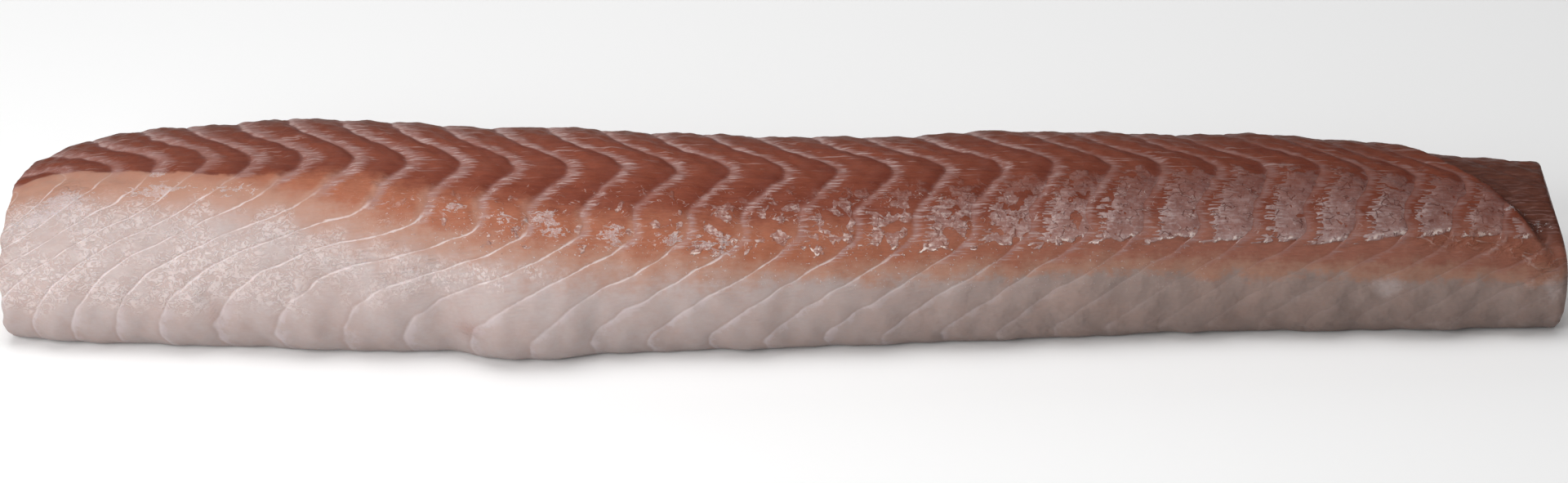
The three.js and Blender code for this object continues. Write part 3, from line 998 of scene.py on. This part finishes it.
def film_mask(place, edge, names):
    """Where a torn film still clings to the flakes, how far it lies from its combed edge, and its rim."""
    along, share, past, part = names["along"], names["share"], edge["Past"], edge["Part"]
    combs = place.stretched((0.25, 2.2, 2.2)).noise(1, 1, 0.4)
    patches = place.noise(0.33, along.rising(-40, 60, 1, 2.5), 0.55, 0.5)
    ragged = place.noise(0.42, 1.5, 0.5) - 0.45
    frayed = ragged * along.rising(10, 110, 8, 1.5)
    lip = names["lip"] - frayed
    shards = place.bent(0.9).stretched((0.7, 1, 1)).cell_numbers(0.5)
    torn = patches + (shards - 0.5) * along.rising(0, 80, 0.22, 0.06)
    high = along.rising(-70, 140, 0.385, 0.466)
    high += (patches - 0.5) * 0.12
    high -= part.rising(0.3, 1) * 0.02
    left = along.rising(0, 90, 1.6, 2.3)
    left += combs.rising(0.38, 0.6) * 1.9
    right = along.rising(-40, 80, 8.2, 10.2)
    right += (patches - 0.4) * 5
    gate = along.rising(-80, 95, 0.68, 0.33)
    mask = torn.rising(gate, gate + 0.02)
    mask *= lip.rising(0, 0.35)
    mask *= share.falling(high, high + 0.02)
    mask *= past.rising(left, left + 0.3)
    mask *= past.falling(right, right + 1)
    mask = mask * names["crease"].falling(-3, 0) * along.rising(-85, -70)
    return mask, past - left, lip.within(0, 0.2, 0.5, 1.3) * mask


def film_colours(graph, tint, place, fibres, edge, names):
    """The film's mottled grey skin with its dark cracks, torn threads and painted glints along its lower rim.
    """
    along, share, lip = names["along"], names["share"], names["lip"]
    film, inwards, rim = film_mask(place, edge, names)
    crumpled = place.noise(1.1, 3, 0.6) + (fibres["Fine"] - 0.5) * 0.7
    crumple = crumpled.rising(0.4, 0.68)
    calm = along.rising(0, 90)
    near_edge = graph.largest(inwards.falling(0.4, 3), lip.falling(0.3, 3))
    smooth = near_edge * 0.55 + crumple * 0.4
    light = crumple * (1 - calm) + smooth * calm
    web = place.bent(0.6).stretched((0.8, 1, 1)).cell_borders(0.5)
    gaps = place.noise(0.5)
    cracks = web.falling(0.015, 0.05) * gaps.rising(0.5, 0.56)
    film_tint = graph.mix(light, FILM, graph.mix(calm, TORN_WHITE, FILM_LIGHT))
    film_tint = graph.mix(cracks * 0.8, film_tint, CRACK)
    thickness = lip.falling(5, 15) * light.rising(0, 1, 0.6, 0.95)
    thickness = along.rising(20, 90, 0.14, 0.3) + thickness * 0.62
    thickness *= along.rising(126, 144, 1, 0.55)
    tint = graph.mix(film * thickness, tint, film_tint)
    strands = place.stretched((0.6, 1, 1)).noise(0.42, 2, 0.5, 1.2)
    threads = strands.away(0.5).falling(0.003, 0.013) * gaps.rising(0.5, 0.6)
    threads *= share.within(0.33, 0.34, 0.4, 0.45)
    threads *= along.within(-95, -70, 90, 140)
    tint = graph.mix(threads * 0.6, tint, TORN_WHITE)
    # Painted glints: near-white spots along the film's lower rim.
    glints = rim * place.noise(0.8, 2, 0.6).rising(0.5, 0.6)
    height = film * (FILM_BUMP + light * CRUMPLE_BUMP)
    height += glints * GLINT_BUMP + threads * THREAD_BUMP
    height -= cracks * film * FILM_BUMP
    return graph.mix(glints * 0.8, tint, GLINT), film, height


def small_marks(graph, tint, place):
    """Torn white shreds, pale patches and orange curls at their own places, with painted glints on the curls
    towards the tail.
    """
    torn = place.stretched((0.5, 0.9, 0.9)).noise(1, 3, 0.6, 1.2)
    placed = graph.attribute("shreds")
    ragged = torn + placed * 0.35
    placed = placed.rising(0.03, 0.15)
    shreds = placed * ragged.rising(0.68, 0.72)
    rims = placed * ragged.within(0.665, 0.685, 0.7, 0.73)
    creases = place.stretched((1.6, 1.2, 1.2)).noise(1.2, 2, 0.6, 1).rising(0.45, 0.6)
    wandering = place.noise(0.4, 3, 0.65) - 0.5
    patches = graph.attribute("patches") + wandering * 1.4
    tint = graph.mix(patches.rising(0.3, 1) * 0.34, tint, FLECK_AND_SHEEN)
    blush = graph.attribute("blush")
    tint = graph.mix(blush * 0.5, tint, CURL_ORANGE)
    folded = place.stretched((0.5, 0.8, 0.8)).noise(0.7, 2, 0.6, 1)
    lumps = folded * blush
    # Painted glints on the orange curls' raised folds.
    shiny = folded.rising(0.56, 0.66) * blush * graph.attribute("along").rising(60, 100, 0, 0.3)
    tint = graph.mix(shiny, tint, GLINT)
    tint = graph.mix(shreds * creases.rising(0, 1, 0.28, 0.64), tint, LAVENDER)
    tint = graph.mix(rims * 0.55, tint, LINE_WHITE)
    return tint, shreds, lumps


def tail_facet(graph, tint, place, fibres, names):
    """The brown facet past the crease that crosses the tail's upper corner, with painted shade in a dark band
    along the crease.
    """
    share = names["share"]
    crease = names["crease"] + (place.noise(0.35, 3, 0.6) - 0.5) * 3.5
    facet = graph.mix(fibres["Threads"].rising(0.42, 0.66), FACET_BROWN, FACET_STREAK)
    facet = graph.mix(share.rising(0.54, 0.62) * fibres["Threads"].rising(0.35, 0.6) * 0.4, facet, BRICK)
    greyed = fibres["Fine"].rising(0.48, 0.66) * share.falling(0.42, 0.54) * 0.4
    facet = graph.mix(fibres["Fine"].rising(0.52, 0.7) * 0.14 + greyed, facet, MAUVE)
    # Painted shade: a dark band just past the crease, where the surface steps down.
    facet = graph.mix(crease.falling(0.6, 4.5) * 0.85, facet, CREASE_SHADE)
    past_it = crease.rising(-0.8, 1.2) * share.rising(0.31, 0.38) * share.falling(0.65, 0.7)
    return graph.mix(past_it * 0.92, tint, facet)


def skinned_flesh(fibre_tree, edge_tree, wrinkle_tree):
    """The skinned outside of the loin."""
    material, graph, shader = new_material("skinned flesh")
    wet_flesh(shader)
    place = graph.millimetres()
    names = {name: graph.attribute(name) for name in ("above", "along", "share", "crease", "lip")}
    above, along, share = names["above"], names["along"], names["share"]
    fibres = graph.group(fibre_tree, Place=place)
    widest = along.rising(-130, 20, 3.5, 2.1)
    width = share.rising(0.37, 0.45, 1.5, widest)
    strayed = (place.noise(0.45, 2, 0.6) - 0.5) * 0.07
    flake = graph.attribute("flake") + strayed
    softness = share.rising(0.33, 0.42, 0.4, 1)
    settings = {"Streaks": fibres["Fine"], "Width": width, "Ragged": 5, "Softness": softness}
    edge = graph.group(edge_tree, Flake=flake, **settings)

    tint, in_red = ground_colours(graph, place, fibres, edge, names)
    grain = fibres["Grain"].rising(0.3, 0.7, 0, 0.14) - 0.07
    tint = graph.scaled(tint, 1 + grain * above.rising(-3, 3, 0.25, 1))
    tint = fibre_bands(graph, tint, place, fibres, edge, names, in_red)
    tint, flecks, swells = surface_flecks(graph, tint, place, wrinkle_tree, names)
    tint, line = pale_lines(graph, tint, place, edge, names)
    tint, film, film_height = film_colours(graph, tint, place, fibres, edge, names)
    tint = tail_facet(graph, tint, place, fibres, names)
    tint, shreds, lumps = small_marks(graph, tint, place)
    # Soft folds in the pale flesh towards the tail: a bump, and the same pattern painted on the colour as
    # light and shade.
    folds = place.noise(0.13, 3, 0.6).rising(0.35, 0.65, -0.05, 0.05)
    folds += edge["Part"].rising(0, 1, 0.025, -0.025)
    folds = folds * along.rising(-20, 60) * above.falling(-5, 0)
    tint = graph.scaled(tint, 1 + folds)
    # Painted shade: the colour darkens towards the tail, where the key lamp's light falls off.
    tint = graph.scaled(tint, along.rising(*TAIL_SHADE_SPAN, 1, TAIL_SHADE))
    # Painted shade: the colour darkens under the foot, towards the table.
    tint = graph.scaled(tint, share.rising(*FOOT_SHADE_SHARES, FOOT_SHADE, 1))
    graph.feed(shader.inputs["Base Color"], tint)

    wet = graph.largest(graph.largest(film, flecks), shreds)
    rough = place.noise(0.5, 3, 0.6).rising(0.3, 0.7, 0.45, 0.6)
    graph.feed(shader.inputs["Roughness"], rough - wet * 0.12)
    damp = above.rising(-3, 4, 0.12, 0.03)
    graph.feed(shader.inputs["Coat Weight"], damp + wet * 0.35)

    height = (fibres["Fine"] - 0.5) * above.rising(-4, 2, 0, FIBRE_BUMP)
    height += flecks * FLECK_BUMP
    height += swells * SWELL_BUMP
    height += lumps * BLUSH_BUMP + folds * FOLD_BUMP
    height += film_height + shreds * SHRED_BUMP
    height -= line * LINE_BUMP
    graph.feed(shader.inputs["Normal"], graph.bump(height))
    return material


def cut_flesh(fibre_tree, edge_tree, wrinkle_tree):
    """The two cut ends: nested flakes with the red muscle as a dark rim under the skinned side."""
    material, graph, shader = new_material("cut flesh")
    wet_flesh(shader)
    place = graph.millimetres()
    above, along = graph.attribute("above"), graph.attribute("along")
    fibres = graph.group(fibre_tree, Place=place)
    grains = place.noise(0.9, 3, 0.65)
    settings = {"Streaks": grains, "Width": 0.7, "Ragged": 1.2, "Softness": 0.3}
    edge = graph.group(edge_tree, Flake=graph.attribute("flake"), **settings)
    blotches = place.noise(0.12, 3, 0.55)
    tint = graph.mix(along.rising(*TAIL_PALE_SPAN), PALE, PALE_TAIL)
    tint = graph.mix(blotches.rising(0.35, 0.7, 0, 0.35), tint, PEACH)
    depth = above + (grains - 0.5) * 5
    tint = graph.mix(depth.rising(-7, 0), tint, PEACH)
    tint = graph.mix(depth.rising(-1, 3), tint, ORANGE)
    tint = graph.mix(depth.rising(3, 9), tint, DEEP_RED)
    broken = place.noise(0.2, 2, 0.6).rising(0.35, 0.6, 0.15, 0.55)
    tint = graph.mix(edge["Band"] * broken, tint, LINE_WHITE)
    tint = graph.mix(fibres["Grain"].rising(0.4, 0.7) * 0.25, tint, MAUVE)
    # Painted shade: the cut faces darken towards the tail, where the key lamp's light falls off.
    tint = graph.scaled(tint, along.rising(*TAIL_SHADE_SPAN, 1, TAIL_SHADE))
    graph.feed(shader.inputs["Base Color"], tint)
    wrinkles = graph.group(wrinkle_tree, Place=place, Cover=0.3, Sparse=0.6)
    graph.feed(shader.inputs["Roughness"], grains.rising(0.3, 0.7, 0.34, 0.5))
    graph.feed(shader.inputs["Coat Weight"], blotches.rising(0.3, 0.7, 0.1, 0.3))
    height = grains * GRAIN_BUMP + wrinkles["Ridges"] * FLECK_BUMP
    height -= edge["Band"] * NESTED_BUMP
    graph.feed(shader.inputs["Normal"], graph.bump(height))
    return material


# The studio, in metres. Powers are in watts.
FLOOR_SIZE = 4
FLOOR_COLOUR = (0.93, 0.93, 0.93, 1)
FLOOR_ROUGHNESS = 0.9
AMBIENT = 0.22
LIGHTS = (
    ("key", (-0.38, -0.4, 0.3), (-0.1, 0, 0), (0.45, 0.35), 2.5),
    ("overhead", (-0.1, -0.05, 0.95), (-0.05, 0, 0), (0.9, 0.7), 5.6),
    ("back_fill", (-0.25, 0.8, 0.6), (0, 0, 0), (0.6, 0.5), 0.9),
)

# The camera looks down on the front of the loin, as in the photograph.
CAMERA_TARGET = Vector((0, 0, 0.0122))
CAMERA_DISTANCE = 0.905
CAMERA_ELEVATION = math.radians(30)
CAMERA_LENS = 100


def add_floor():
    """A plain pale floor, which is staging and not part of the object."""
    bm = bmesh.new()
    bmesh.ops.create_grid(bm, x_segments=1, y_segments=1, size=FLOOR_SIZE / 2)
    mesh = bpy.data.meshes.new("floor")
    bm.to_mesh(mesh)
    bm.free()
    material, _, shader = new_material("studio floor")
    shader.inputs["Base Color"].default_value = FLOOR_COLOUR
    shader.inputs["Roughness"].default_value = FLOOR_ROUGHNESS
    mesh.materials.append(material)
    floor = bpy.data.objects.new("floor", mesh)
    bpy.context.scene.collection.objects.link(floor)


def facing(place, target):
    """Rotation of a lamp or camera at place that looks at target."""
    return (Vector(target) - Vector(place)).to_track_quat("-Z", "Y").to_euler()


def add_lights():
    """Soft area lamps and an even pale surrounding."""
    for name, place, target, size, power in LIGHTS:
        lamp = bpy.data.lights.new(name, "AREA")
        lamp.shape = "RECTANGLE"
        lamp.size, lamp.size_y = size
        lamp.energy = power
        holder = bpy.data.objects.new(name, lamp)
        holder.location = place
        holder.rotation_euler = facing(place, target)
        bpy.context.scene.collection.objects.link(holder)
    world = bpy.data.worlds.new("studio")
    world.use_nodes = True
    world.node_tree.nodes["Background"].inputs["Color"].default_value = (1, 1, 1, 1)
    world.node_tree.nodes["Background"].inputs["Strength"].default_value = AMBIENT
    bpy.context.scene.world = world


def add_camera():
    """The camera at the photograph's angle."""
    back = Vector((0, -math.cos(CAMERA_ELEVATION), math.sin(CAMERA_ELEVATION)))
    lens = bpy.data.cameras.new("camera")
    lens.lens = CAMERA_LENS
    camera = bpy.data.objects.new("camera", lens)
    camera.location = CAMERA_TARGET + CAMERA_DISTANCE * back
    camera.rotation_euler = facing(camera.location, CAMERA_TARGET)
    bpy.context.scene.collection.objects.link(camera)
    bpy.context.scene.camera = camera


add_camera()
loin = loin_object()
trees = (fibre_group(), flake_edge_group(), wrinkle_group())
loin.data.materials.append(skinned_flesh(*trees))
loin.data.materials.append(cut_flesh(*trees))
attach(loin, "root")
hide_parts("pollock_loin")
add_floor()
add_lights()
bpy.context.scene.view_settings.view_transform = "Standard"
